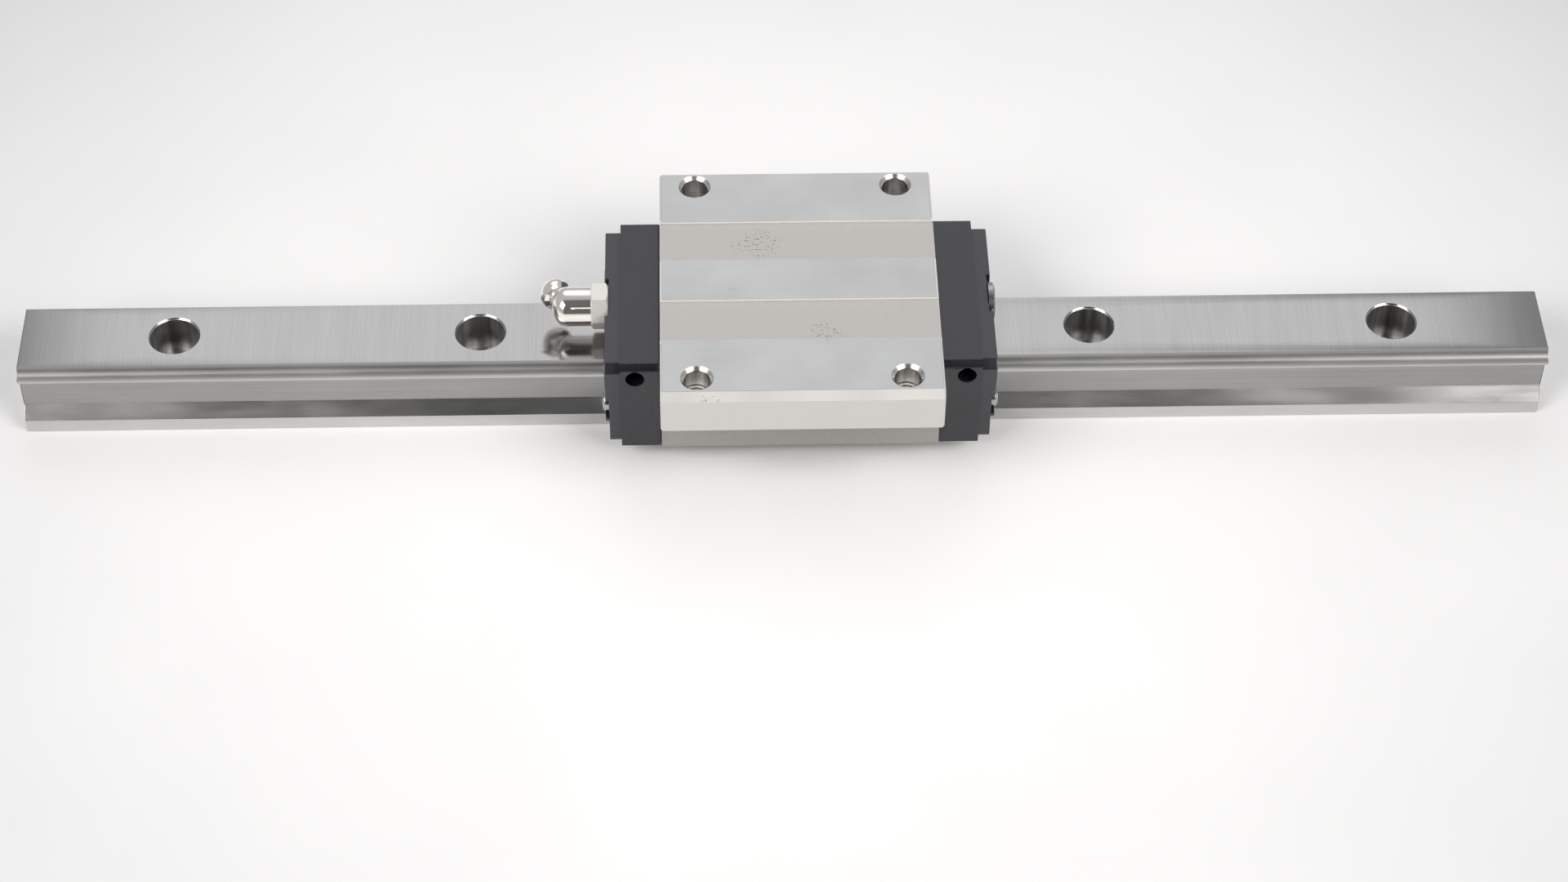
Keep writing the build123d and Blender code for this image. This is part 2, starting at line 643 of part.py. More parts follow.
def make_nipple_body():
    seat = end_plane(-1, CAP_THICKNESS + PLATE_THICKNESS)
    base = end_plane(-1, CAP_THICKNESS + PLATE_THICKNESS + HEX_LENGTH)
    head = nipple_frame()
    axis = Axis(seat.origin + Vector(0, 0, PORT_Z), seat.z_dir)
    corner_r = HEX_WIDTH / math.sqrt(3)
    cone = (corner_r - HEX_FACE_R) * math.tan(math.radians(30))
    with BuildPart() as body:
        with BuildSketch(seat):
            with Locations((0, PORT_Z)):
                RegularPolygon(HEX_WIDTH / 2, 6, major_radius=False)
        extrude(amount=HEX_LENGTH)
        with BuildSketch(Plane(origin=axis.position, x_dir=seat.z_dir, z_dir=(0, 1, 0))):
            with BuildLine():
                Polyline(
                    (0, 0),
                    (0, HEX_FACE_R),
                    (cone, corner_r),
                    (HEX_LENGTH - cone, corner_r),
                    (HEX_LENGTH, HEX_FACE_R),
                    (HEX_LENGTH, 0),
                    close=True,
                )
            make_face()
        revolve(axis=axis, mode=Mode.INTERSECT)
        with BuildSketch(seat):
            with Locations((0, PORT_Z)):
                Circle(PORT_R)
        extrude(amount=-STUB_LENGTH)
        with BuildSketch(base):
            with Locations((0, PORT_Z)):
                Circle(ELBOW_R)
        extrude(amount=ELBOW_LENGTH)
        nose = body.edges().filter_by(GeomType.CIRCLE).sort_by(Axis.X)[0]
        fillet(nose, ELBOW_ROUND)
        with BuildSketch(seat.offset(-STUB_LENGTH)):
            with Locations((0, PORT_Z)):
                Circle(GREASE_BORE_R)
        extrude(amount=STUB_LENGTH + HEX_LENGTH + ELBOW_LENGTH - ELBOW_INSET, mode=Mode.SUBTRACT)
        with BuildSketch(head):
            Circle(NECK_R)
        extrude(amount=SEAT_START, mode=Mode.SUBTRACT)
        with BuildSketch(head.offset(SEAT_START)):
            Circle(SEAT_R)
        extrude(amount=2 * ELBOW_R, mode=Mode.SUBTRACT)
    body.part.label = "nipple_body"
    export_step(body.part, "parts/nipple_body.step")


def make_nipple_head():
    head = nipple_frame()
    profile = Plane(origin=head.origin, x_dir=head.z_dir, z_dir=(0, 0, 1))
    valve_seat = HEAD_END - VALVE_WALL
    dome_x = (HEAD_BAND_END + HEAD_END) / 2
    with BuildPart() as nipple:
        with BuildSketch(profile):
            with BuildLine():
                Polyline(
                    (HEAD_END, HEAD_FACE_R),
                    (HEAD_END, VALVE_OPENING_R),
                    (valve_seat, VALVE_OPENING_R),
                    (valve_seat, HEAD_BORE_R),
                    (0, HEAD_BORE_R),
                    (0, NECK_R),
                    (SEAT_START, NECK_R),
                    (SEAT_START, COLLAR_R),
                    (COLLAR_END, COLLAR_R),
                    (COLLAR_END, NECK_R),
                    (WAIST_END, NECK_R),
                    (HEAD_CONE_END, HEAD_R),
                    (HEAD_BAND_END, HEAD_R),
                )
                ThreePointArc((HEAD_BAND_END, HEAD_R), (dome_x, HEAD_DOME_R), (HEAD_END, HEAD_FACE_R))
            make_face()
        revolve(axis=Axis(head.origin, head.z_dir))
    nipple.part.label = "nipple_head"
    export_step(nipple.part, "parts/nipple_head.step")


def make_nipple_valve():
    head = nipple_frame()
    ball_x = HEAD_END - VALVE_WALL - math.sqrt(CHECK_BALL_R**2 - VALVE_OPENING_R**2) - PORT_GAP
    with BuildPart() as ball:
        with Locations(head.origin + head.z_dir * ball_x):
            Sphere(CHECK_BALL_R)
    ball.part.label = "nipple_ball"
    export_step(ball.part, "parts/nipple_ball.step")
    spring_length = ball_x - CHECK_BALL_R - SPRING_WIRE_R - SPRING_START
    foot = head.origin + head.z_dir * SPRING_START
    with BuildPart() as spring:
        with BuildLine():
            wire = Helix(SPRING_PITCH, spring_length, SPRING_R, center=foot, direction=head.z_dir)
        with BuildSketch(Plane(origin=wire @ 0, z_dir=wire % 0)):
            Circle(SPRING_WIRE_R)
        sweep(path=wire, is_frenet=True)
    spring.part.label = "nipple_spring"
    export_step(spring.part, "parts/nipple_spring.step")


def make_port_plug():
    seat = end_plane(1, CAP_THICKNESS + PLATE_THICKNESS)
    with BuildPart() as plug:
        with BuildSketch(seat):
            with Locations((0, PORT_Z)):
                Circle(PORT_R)
        extrude(amount=-STUB_LENGTH)
        with BuildSketch(seat):
            with Locations((0, PORT_Z)):
                Circle(ELBOW_R)
        extrude(amount=PLUG_HEAD_HEIGHT)
        rim = plug.edges().filter_by(GeomType.CIRCLE).sort_by(Axis.X)[-1]
        chamfer(rim, EDGE_BREAK)
        with BuildSketch(seat.offset(PLUG_HEAD_HEIGHT)):
            with Locations((0, PORT_Z)):
                RegularPolygon(PLUG_KEY_WIDTH / 2, 6, major_radius=False)
        extrude(amount=-PLUG_KEY_DEPTH, mode=Mode.SUBTRACT)
    plug.part.label = "port_plug"
    export_step(plug.part, "parts/port_plug.step")


make_rail()
make_block()
make_return_guides()
make_return_tubes()
make_balls()
make_retainers()
make_bottom_seals()
make_end_caps()
make_seal_plates()
make_seal_lips()
make_cap_screws()
make_nipple_body()
make_nipple_head()
make_nipple_valve()
make_port_plug()
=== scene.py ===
"""Looks of the linear guide: camera, studio, procedural finishes and finer meshes round the CAD frame."""

import math

import bmesh
import bpy
from mathutils import Matrix, Quaternion, Vector


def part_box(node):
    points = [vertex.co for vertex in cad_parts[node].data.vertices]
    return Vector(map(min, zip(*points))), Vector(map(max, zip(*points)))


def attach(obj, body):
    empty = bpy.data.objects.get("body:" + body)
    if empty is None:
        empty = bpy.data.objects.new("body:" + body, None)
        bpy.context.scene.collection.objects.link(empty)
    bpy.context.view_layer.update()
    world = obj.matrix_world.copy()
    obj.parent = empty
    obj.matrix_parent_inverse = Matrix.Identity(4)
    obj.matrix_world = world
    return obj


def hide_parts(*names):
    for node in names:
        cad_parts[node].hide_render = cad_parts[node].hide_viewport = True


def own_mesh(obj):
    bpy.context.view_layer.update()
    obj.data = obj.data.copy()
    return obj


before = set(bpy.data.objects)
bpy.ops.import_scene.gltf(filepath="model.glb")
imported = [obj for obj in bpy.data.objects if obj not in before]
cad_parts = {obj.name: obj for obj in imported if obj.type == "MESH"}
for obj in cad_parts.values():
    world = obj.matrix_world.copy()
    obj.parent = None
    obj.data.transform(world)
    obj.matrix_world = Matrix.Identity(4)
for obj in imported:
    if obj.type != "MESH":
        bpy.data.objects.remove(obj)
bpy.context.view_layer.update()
MM = 0.001

# ---------------------------------------------------------------- driving dimensions, in millimetres
RAIL_LOW, RAIL_HIGH = (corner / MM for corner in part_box("rail"))
RAIL_HALF = RAIL_HIGH.y
RAIL_TOP = RAIL_HIGH.z
RAIL_PITCH = 60.0
RAIL_HOLES = 5
RAIL_WAIST_HALF = 7.6
RAIL_BASE = 3.1
WAIST_BOTTOM = RAIL_BASE + RAIL_HALF - RAIL_WAIST_HALF  # a 45 degree shoulder leads up to it
RIDGE_TOP = 14.2
RIDGE_BOTTOM = 13.6
GROOVE_R = 2.1
EDGE = 0.3
BORE_R = 4.75
BORE_DEPTH = 8.5
BOLT_R = 3.0

BLOCK_LOW, BLOCK_HIGH = (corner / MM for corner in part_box("block"))
BLOCK_X = (BLOCK_LOW.x + BLOCK_HIGH.x) / 2
BLOCK_TOP = BLOCK_HIGH.z
BAND_DEPTH = 0.5
BAND_LIMIT_Y = 17.0  # just outside the two shallow bands along the top
FLANGE_BOTTOM = 20.5
TAPPED_X, TAPPED_Y = 20.0, 26.5
THREAD_R = 2.5  # M6 x 1, at the crests
THREAD_DEPTH = 0.13  # the groove between the crests, cut shallow so that it shows only faintly
THREAD_START = 4.0  # from the flange's top down to the first turn
THREAD_PITCH = 1.0
THREAD_SLOPE = 1.15  # how steep the groove's sides are; over 1 leaves a flat crest
MOUTH_R = 3.2
FLANGE_CHAMFER = 1.5

CAP_BEVEL = 0.35
PLATE_BEVEL = 0.2
BEVELLED_DEG = 20.0  # edges that turn by more than this are rounded over

NIPPLE_LOW, NIPPLE_HIGH = (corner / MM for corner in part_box("nipple_body"))
PORT_Z = 23.1
STUB_R, STUB_LENGTH = 2.0, 7.5
HEX_WIDTH, HEX_LENGTH, HEX_FACE_R = 8.0, 3.4, 3.85
ELBOW_R, ELBOW_ROUND, ELBOW_INSET = 3.85, 2.6, 3.25
HEAD_AZIMUTH = math.radians(130.0)
# The head: radii, and places along its axis from where that crosses the elbow's.
SEAT_R, SEAT_START = 3.3, 2.2
NECK_R = 2.0
COLLAR_R, COLLAR_END = 2.9, 2.8
HEAD_R, HEAD_CONE_START, HEAD_CONE_END, HEAD_BAND_END = 3.05, 3.5, 4.3, 4.9
HEAD_END, HEAD_FACE_R, HEAD_DOME_R = 7.2, 1.5, 2.65
DOME_STEPS = 8
OPENING_R, OPENING_LENGTH = 0.55, 1.6
HEAD_BORE_R, HEAD_BORE_START = 1.0, 1.0

# ---------------------------------------------------------------- camera
CAMERA_AZIMUTH = math.radians(-2.00)
CAMERA_ELEVATION = math.radians(47.02)
CAMERA_ROLL = math.radians(0.72)
CAMERA_LENS = 80.9
CAMERA_DISTANCE = 675.9
CAMERA_TARGET = Vector((-1.0, -29.1, 15.0))


def direction(azimuth, elevation):
    """The unit vector towards an azimuth and an elevation. Azimuth 0 is the front, -Y."""
    return Vector((
        math.sin(azimuth) * math.cos(elevation),
        -math.cos(azimuth) * math.cos(elevation),
        math.sin(elevation),
    ))


def link(made):
    bpy.context.scene.collection.objects.link(made)
    return made


def make_camera():
    back = direction(CAMERA_AZIMUTH, CAMERA_ELEVATION)
    data = bpy.data.cameras.new("camera")
    data.sensor_width = 36.0
    data.lens = CAMERA_LENS
    data.clip_start = 0.01
    data.clip_end = 20.0
    camera = link(bpy.data.objects.new("camera", data))
    camera.rotation_mode = "QUATERNION"
    camera.location = (CAMERA_TARGET + back * CAMERA_DISTANCE) * MM
    camera.rotation_quaternion = Quaternion(back, CAMERA_ROLL) @ (-back).to_track_quat("-Z", "Y")
    bpy.context.scene.camera = camera


make_camera()


# ---------------------------------------------------------------- shader helpers
NEAR = 0.05  # how far from a plane a point still counts as on it, in millimetres
SOFT = 0.02  # half the width of a step from one finish to the next


class Graph:
    """A node tree with short calls for the nodes used here."""

    def __init__(self, tree):
        self.tree = tree

    def node(self, kind, **settings):
        made = self.tree.nodes.new(kind)
        for key, value in settings.items():
            setattr(made, key, value)
        return made

    def feed(self, source, target):
        if isinstance(source, bpy.types.NodeSocket):
            self.tree.links.new(source, target)
        else:
            target.default_value = source

    def math(self, operation, *values):
        made = self.node("ShaderNodeMath", operation=operation)
        for socket, value in zip(made.inputs, values):
            self.feed(value, socket)
        return made.outputs[0]

    def remap(self, value, low, high, out_low, out_high, smooth=False):
        """A number that runs between two outputs while the value runs from low to high, and stays there."""
        made = self.node("ShaderNodeMapRange")
        if smooth:
            made.interpolation_type = "SMOOTHSTEP"
        for socket, number in zip(made.inputs, (value, low, high, out_low, out_high)):
            self.feed(number, socket)
        return made.outputs[0]


class Shader(Graph):
    """A material's nodes, which feed its main shader."""

    def __init__(self, name):
        self.material = bpy.data.materials.new(name)
        self.material.use_nodes = True
        super().__init__(self.material.node_tree)
        self.bsdf = self.tree.nodes["Principled BSDF"]

    def set(self, **values):
        """Feeds sockets of the main shader, named with underscores for spaces."""
        for key, value in values.items():
            self.feed(value, self.bsdf.inputs[key.replace("_", " ")])

    def place(self, scale=(1.0, 1.0, 1.0)):
        """The point on the piece in millimetres, times a scale on each axis."""
        coordinate = self.node("ShaderNodeTexCoord")
        mapping = self.node("ShaderNodeMapping")
        mapping.inputs["Scale"].default_value = [value / MM for value in scale]
        self.feed(coordinate.outputs["Object"], mapping.inputs["Vector"])
        return mapping.outputs["Vector"]

    def axes(self):
        """The point's x, y and z in millimetres."""
        split = self.node("ShaderNodeSeparateXYZ")
        self.feed(self.place(), split.inputs[0])
        return split.outputs[0], split.outputs[1], split.outputs[2]

    def noise(self, scale, detail=2.0, rough=0.5, low=0.3, high=0.7):
        """Noise stretched by a scale on each axis, spread to run from 0 to 1."""
        texture = self.node("ShaderNodeTexNoise")
        texture.inputs["Scale"].default_value = 1.0
        texture.inputs["Detail"].default_value = detail
        texture.inputs["Roughness"].default_value = rough
        scales = scale if isinstance(scale, tuple) else (scale,) * 3
        self.feed(self.place(scales), texture.inputs["Vector"])
        return self.remap(texture.outputs["Fac"], low, high, 0.0, 1.0)

    def blend(self, factor, first, second):
        """A number between two, by a factor."""
        made = self.node("ShaderNodeMix", data_type="FLOAT")
        for index, value in zip((0, 2, 3), (factor, first, second)):
            self.feed(value, made.inputs[index])
        return made.outputs[0]

    def mix(self, factor, first, second):
        """A colour between two, by a factor."""
        made = self.node("ShaderNodeMix", data_type="RGBA")
        for index, value in zip((0, 6, 7), (factor, first, second)):
            self.feed(value, made.inputs[index])
        return made.outputs[2]

    def above(self, value, limit, soft=SOFT):
        """1 where a value is over a limit, 0 where it is under."""
        return self.remap(value, limit - soft, limit + soft, 0.0, 1.0)

    def stepped(self, value, levels, soft=0.1):
        """A number that changes at each limit in (limit, number) as the value rises."""
        result = levels[0][1]
        for limit, number in levels[1:]:
            result = self.blend(self.above(value, limit, soft), result, number)
        return result

    def distance(self, x, y):
        """The length of the flat vector (x, y)."""
        squares = self.math("ADD", self.math("MULTIPLY", x, x), self.math("MULTIPLY", y, y))
        return self.math("SQRT", squares)

    def bump(self, height, strength, distance):
        made = self.node("ShaderNodeBump")
        made.inputs["Strength"].default_value = strength
        made.inputs["Distance"].default_value = distance * MM
        self.feed(height, made.inputs["Height"])
        self.set(Normal=made.outputs["Normal"])


def tone(value, warm=0.0):
    """A grey, with its red raised and its blue lowered by a share."""
    return (value * (1 + warm), value, value * (1 - warm), 1.0)


# ---------------------------------------------------------------- finishes
TRACK_LOW = RIDGE_TOP + 0.2 * GROOVE_R  # where the balls run in the upper groove
TRACK_HIGH = RIDGE_TOP + 0.7 * GROOVE_R
RAIL_PAINTED_TONES = [  # from the height of each limit upwards, how bright the steel is painted: painted light and shade, set band by band for how each face is lit
    (0.0, 0.60),  # foot
    (RAIL_BASE, 0.84),  # sloped shoulder
    (WAIST_BOTTOM, 0.37),  # waist and lower groove
    (RIDGE_BOTTOM, 0.54),  # ridge
    (RIDGE_TOP, 0.46),  # the upper groove's floor
    (TRACK_LOW, 0.34),
    (TRACK_HIGH, 0.30),
    (RAIL_TOP - EDGE / 3, 0.415),  # top
]
RAIL_ROUGHNESS = [  # the same for how rough the sides are
    (0.0, 0.18),
    (RAIL_BASE, 0.20),
    (WAIST_BOTTOM, 0.17),
    (RIDGE_TOP, 0.34),
    (TRACK_LOW, 0.42),
    (TRACK_HIGH, 0.20),
]
STAIN = (0.16, 0.13, 0.10, 1)
BLOCK_MARKS = [  # small stains: x, y and reach
    (-5.0, 10.5, 4.5),
    (-9.3, 9.3, 1.5),
    (-10.0, -3.0, 1.2),
    (7.4, -14.4, 3.4),
    (-16.0, -31.2, 0.9),
    (-14.1, -31.2, 0.9),
]


def rail_steel():
    shader = Shader("rail_steel")
    x, y, z = shader.axes()
    on_top = shader.above(z, RAIL_TOP - NEAR)
    brushed = shader.noise((3.2, 0.015, 0.0), 4.0, 0.75)
    patches = shader.noise((0.25, 0.02, 0.0), 3.0, 0.6)
    drawn = shader.noise((0.006, 5.0, 5.0), 3.0, 0.6)
    cloud = shader.noise((0.05, 0.2, 0.2), 3.0, 0.5)
    lines = shader.blend(on_top, drawn, brushed)
    shade = shader.blend(0.35, lines, shader.blend(on_top, cloud, patches))
    from_end = shader.math("ADD", x, RAIL_PITCH * RAIL_HOLES / 2)
    from_hole = shader.math("SUBTRACT", shader.math("MODULO", from_end, RAIL_PITCH), RAIL_PITCH / 2)
    rim = BORE_R + NEAR
    in_hole = shader.remap(shader.distance(from_hole, y), rim, rim + 0.07, 1.0, 0.0)
    uneven = shader.remap(shade, 0, 1, 0.87, 1.13)
    # painted light and shade: each band's brightness from the tone table above, times random grain
    level = shader.math("MULTIPLY", shader.stepped(z, RAIL_PAINTED_TONES), uneven)
    ground = shader.mix(level, tone(0), tone(1, 0.012))
    turned = shader.mix(shader.noise((0.8, 0.8, 0.0), 2.0, 0.5), tone(0.31, 0.01), tone(0.67, 0.01))
    uneven_rough = shader.remap(cloud, 0, 1, -0.03, 0.04)
    side_rough = shader.math("ADD", shader.stepped(z, RAIL_ROUGHNESS), uneven_rough)
    rough = shader.blend(on_top, side_rough, shader.remap(patches, 0, 1, 0.12, 0.17))
    shader.set(
        Base_Color=shader.mix(in_hole, ground, turned),
        Roughness=shader.blend(in_hole, rough, 0.36),
        Metallic=1.0,
    )
    shader.bump(lines, 0.2, 0.01)
    return shader.material


def block_places(shader, x, y, z):
    """Where a point is on the block, each place as 0 or 1. A step is the wall beside a band, painted bright
    as a highlight.
    """
    below_land = shader.remap(z, BLOCK_TOP - NEAR - SOFT, BLOCK_TOP - NEAR, 1.0, 0.0)
    in_band = shader.math("MULTIPLY", shader.above(z, BLOCK_TOP - BAND_DEPTH - 2 * NEAR), below_land)
    inboard = shader.remap(shader.math("ABSOLUTE", y), BAND_LIMIT_Y, BAND_LIMIT_Y + 0.1, 1.0, 0.0)
    in_band = shader.math("MULTIPLY", in_band, inboard)
    painted_bright_step = shader.math("MULTIPLY", in_band, shader.above(z, BLOCK_TOP - BAND_DEPTH + NEAR))
    from_middle = shader.math("ABSOLUTE", shader.math("SUBTRACT", x, BLOCK_X))
    from_hole_x = shader.math("SUBTRACT", from_middle, TAPPED_X)
    from_hole_y = shader.math("SUBTRACT", shader.math("ABSOLUTE", y), TAPPED_Y)
    from_hole = shader.distance(from_hole_x, from_hole_y)
    return {
        "in_band": in_band,
        "painted_bright_step": painted_bright_step,
        "on_land": shader.above(z, BLOCK_TOP - NEAR),
        "on_flange": shader.above(z, FLANGE_BOTTOM + NEAR),
        "bevelled": shader.above(z, BLOCK_TOP - FLANGE_CHAMFER),
        "in_hole": shader.remap(from_hole, MOUTH_R - 2 * NEAR, MOUTH_R, 1.0, 0.0),
    }


def stains(shader, x, y):
    """1 in the small stains on the block."""
    near_mark = 0.0
    for mark_x, mark_y, reach in BLOCK_MARKS:
        away_x = shader.math("SUBTRACT", x, mark_x)
        away_y = shader.math("SUBTRACT", y, mark_y)
        near = shader.remap(shader.distance(away_x, away_y), reach * 0.7, reach, 1.0, 0.0)
        near_mark = shader.math("MAXIMUM", near_mark, near)
    spots = shader.above(shader.noise((1.4, 2.0, 2.0), 2.0, 0.5, 0.0, 1.0), 0.60, 0.03)
    return shader.math("MULTIPLY", near_mark, spots)


def block_steel():
    """Ground lands, rougher bands along the top, dull sides, and bright holes; painted light on the flange's
    chamfer and on the walls beside the bands, painted shade on the body below the flange.
    """
    shader = Shader("block_steel")
    x, y, z = shader.axes()
    place = block_places(shader, x, y, z)
    grain = shader.noise((0.04, 6.0, 6.0), 4.0, 0.6)
    mottle = shader.noise(1.6, 5.0, 0.65)
    cloud = shader.noise(0.09, 3.0, 0.5)
    ground = shader.mix(grain, tone(0.56), tone(0.60))
    # painted light: the flange's chamfer is painted lighter than the flange's front
    flange = shader.mix(place["bevelled"], tone(0.60, 0.03), tone(0.75, 0.03))
    # painted shade: the body below the flange is painted darker, for the flange's shadow
    body = shader.mix(mottle, tone(0.31, 0.05), tone(0.35, 0.05))
    skin = shader.mix(mottle, tone(0.61, 0.04), tone(0.65, 0.04))
    sides = shader.mix(place["on_flange"], body, flange)
    outside = shader.mix(place["on_land"], sides, ground)
    # painted highlight: the wall beside each band is painted near white
    band = shader.mix(place["painted_bright_step"], skin, tone(0.95, 0.02))
    clean = shader.mix(place["in_band"], outside, band)
    marked = shader.math("MULTIPLY", stains(shader, x, y), place["bevelled"])
    stained = shader.mix(shader.math("MULTIPLY", marked, 0.5), clean, STAIN)
    bore = shader.mix(shader.noise((0.8, 0.8, 0.0), 2.0, 0.5), tone(0.45, 0.03), tone(0.75, 0.03))
    on_band_floor = shader.math("SUBTRACT", place["in_band"], place["painted_bright_step"])
    bare = shader.remap(shader.math("MAXIMUM", on_band_floor, place["on_land"]), 0, 1, 0.45, 1.0)
    rough = shader.blend(place["in_band"], shader.remap(cloud, 0, 1, 0.36, 0.44), 0.52)
    shader.set(
        Base_Color=shader.mix(place["in_hole"], stained, bore),
        Roughness=shader.blend(place["in_hole"], rough, 0.26),
        Metallic=shader.math("MAXIMUM", bare, place["in_hole"]),
    )
    shader.bump(shader.blend(place["on_land"], mottle, grain), 0.18, 0.015)
    return shader.material


def plastic(name, dark, light, rough, grain, gloss=1.66):
    """Fine-textured moulded plastic or rubber. The gloss is its refractive index."""
    shader = Shader(name)
    fine = shader.noise(grain, 3.0, 0.6)
    cloud = shader.noise(0.12, 3.0, 0.6)
    shader.set(
        Base_Color=shader.mix(cloud, dark, light),
        Roughness=shader.remap(fine, 0, 1, rough - 0.05, rough + 0.07),
        IOR=gloss,
    )
    shader.bump(fine, 0.05, 0.02)
    return shader.material


def metal(name, dark, light, rough, grain):
    """Bright metal with faint tool marks."""
    shader = Shader(name)
    fine = shader.noise(grain, 3.0, 0.6)
    shader.set(
        Base_Color=shader.mix(fine, dark, light),
        Roughness=shader.remap(fine, 0, 1, rough * 0.8, rough * 1.2),
        Metallic=1.0,
    )
    shader.bump(fine, 0.04, 0.01)
    return shader.material


def nickel_plate():
    """Bright plating on the elbow and head, satin on the hexagon that a spanner turns."""
    shader = Shader("nipple_nickel")
    x, _, _ = shader.axes()
    on_hexagon = shader.above(x, NIPPLE_HIGH.x - STUB_LENGTH - HEX_LENGTH)
    cloud = shader.noise(0.5, 3.0, 0.5)
    bright = shader.mix(cloud, tone(0.86, 0.045), tone(0.92, 0.045))
    shader.set(
        Base_Color=shader.mix(on_hexagon, bright, tone(0.72, 0.04)),
        Roughness=shader.blend(on_hexagon, shader.remap(cloud, 0, 1, 0.09, 0.14), 0.36),
        Metallic=shader.blend(on_hexagon, 0.92, 0.35),
    )
    return shader.material


FINISHES = {
    "rail_steel": rail_steel(),
    "block_steel": block_steel(),
    "cap_plastic": plastic(
        "cap_plastic", (0.005, 0.005, 0.010, 1), (0.008, 0.008, 0.014, 1), 0.27, 4.0, gloss=1.61
    ),
    "seal_plastic": plastic("seal_plastic", (0.009, 0.009, 0.016, 1), (0.013, 0.013, 0.021, 1), 0.28, 4.0),
    "seal_rubber": plastic("seal_rubber", (0.008, 0.008, 0.009, 1), (0.014, 0.014, 0.015, 1), 0.60, 2.0),
    "screw_steel": metal("screw_steel", tone(0.34), tone(0.46), 0.24, 1.5),
    "retainer_plastic": plastic("retainer_plastic", (0.50, 0.50, 0.44, 1), (0.58, 0.58, 0.52, 1), 0.5, 2.0),
    "tube_plastic": plastic("tube_plastic", (0.62, 0.62, 0.58, 1), (0.70, 0.70, 0.66, 1), 0.45, 2.0),
    "ball_steel": metal("ball_steel", tone(0.74), tone(0.80), 0.06, 1.0),
    "nipple_nickel": nickel_plate(),
    "spring_steel": metal("spring_steel", tone(0.42), tone(0.52), 0.30, 4.0),
}

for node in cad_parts.values():
    for slot in node.material_slots:
        slot.material = FINISHES[slot.material.name.split(".")[0]]


# ---------------------------------------------------------------- mesh helpers
WELD = 0.001
FLAT_DEG = math.radians(0.5)


def make_object(name, shape):
    """An object from a bmesh whose points are in millimetres."""
    bmesh.ops.scale(shape, vec=(MM, MM, MM), verts=shape.verts)
    bmesh.ops.recalc_face_normals(shape, faces=shape.faces)
    mesh = bpy.data.meshes.new(name)
    shape.to_mesh(mesh)
    shape.free()
    return link(bpy.data.objects.new(name, mesh))


def copy_of(node):
    """A CAD node's shape as a welded bmesh in millimetres, its flat areas in one face where they can be."""
    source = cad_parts[node].data
    shape = bmesh.new()
    points = [shape.verts.new(vertex.co / MM) for vertex in source.vertices]
    for polygon in source.polygons:
        shape.faces.new([points[index] for index in polygon.vertices])
    bmesh.ops.remove_doubles(shape, verts=shape.verts, dist=WELD)
    bmesh.ops.dissolve_limit(shape, angle_limit=FLAT_DEG, verts=shape.verts, edges=shape.edges)
    return shape


def cut(target, cutters, operation="DIFFERENCE"):
    """Takes the cutters out of the target, adds them or keeps what they share, and deletes them."""
    for cutter in cutters:
        modifier = target.modifiers.new("cut", "BOOLEAN")
        modifier.object = cutter
        modifier.operation = operation
        modifier.solver = "EXACT"
    bpy.context.view_layer.update()
    evaluated = target.evaluated_get(bpy.context.evaluated_depsgraph_get())
    mesh = bpy.data.meshes.new_from_object(evaluated)
    target.modifiers.clear()
    target.data = mesh
    for cutter in cutters:
        bpy.data.objects.remove(cutter)


def finish_piece(piece, slot, body, sharp_deg=32.0, replaces=(), weighted=False):
    """Smooth shading between sharp edges, one finish, its body and the nodes that it stands for."""
    for polygon in piece.data.polygons:
        polygon.use_smooth = True
    piece.data.set_sharp_from_angle(angle=math.radians(sharp_deg))
    if weighted:
        piece.modifiers.new("flat faces stay flat", "WEIGHTED_NORMAL").keep_sharp = True
    piece.data.materials.clear()
    piece.data.materials.append(FINISHES[slot])
    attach(piece, body)
    if replaces:
        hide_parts(*replaces)
    return piece


def lathe(profile, turn=Matrix.Identity(4), segments=96):
    """A closed turned shape: (radius, height) points from one end of the axis to the other, about Z."""
    shape = bmesh.new()
    rings = []
    for radius, height in profile:
        ring = []
        for index in range(segments):
            angle = 2 * math.pi * index / segments
            point = turn @ Vector((radius * math.cos(angle), radius * math.sin(angle), height))
            ring.append(shape.verts.new(point))
        rings.append(ring)
    join_rings(shape, rings)
    return shape


def join_rings(shape, rings):
    """Quads between closed rings, and a face over the first and the last."""
    for lower, upper in zip(rings, rings[1:]):
        for index in range(len(lower)):
            after = (index + 1) % len(lower)
            shape.faces.new((lower[index], lower[after], upper[after], upper[index]))
    shape.faces.new(list(reversed(rings[0])))
    shape.faces.new(rings[-1])


def arc(centre, radius, start_deg, end_deg, steps=16):
    """Points on an arc, both ends included."""
    points = []
    for index in range(steps + 1):
        angle = math.radians(start_deg + (end_deg - start_deg) * index / steps)
        points.append((centre[0] + radius * math.cos(angle), centre[1] + radius * math.sin(angle)))
    return points


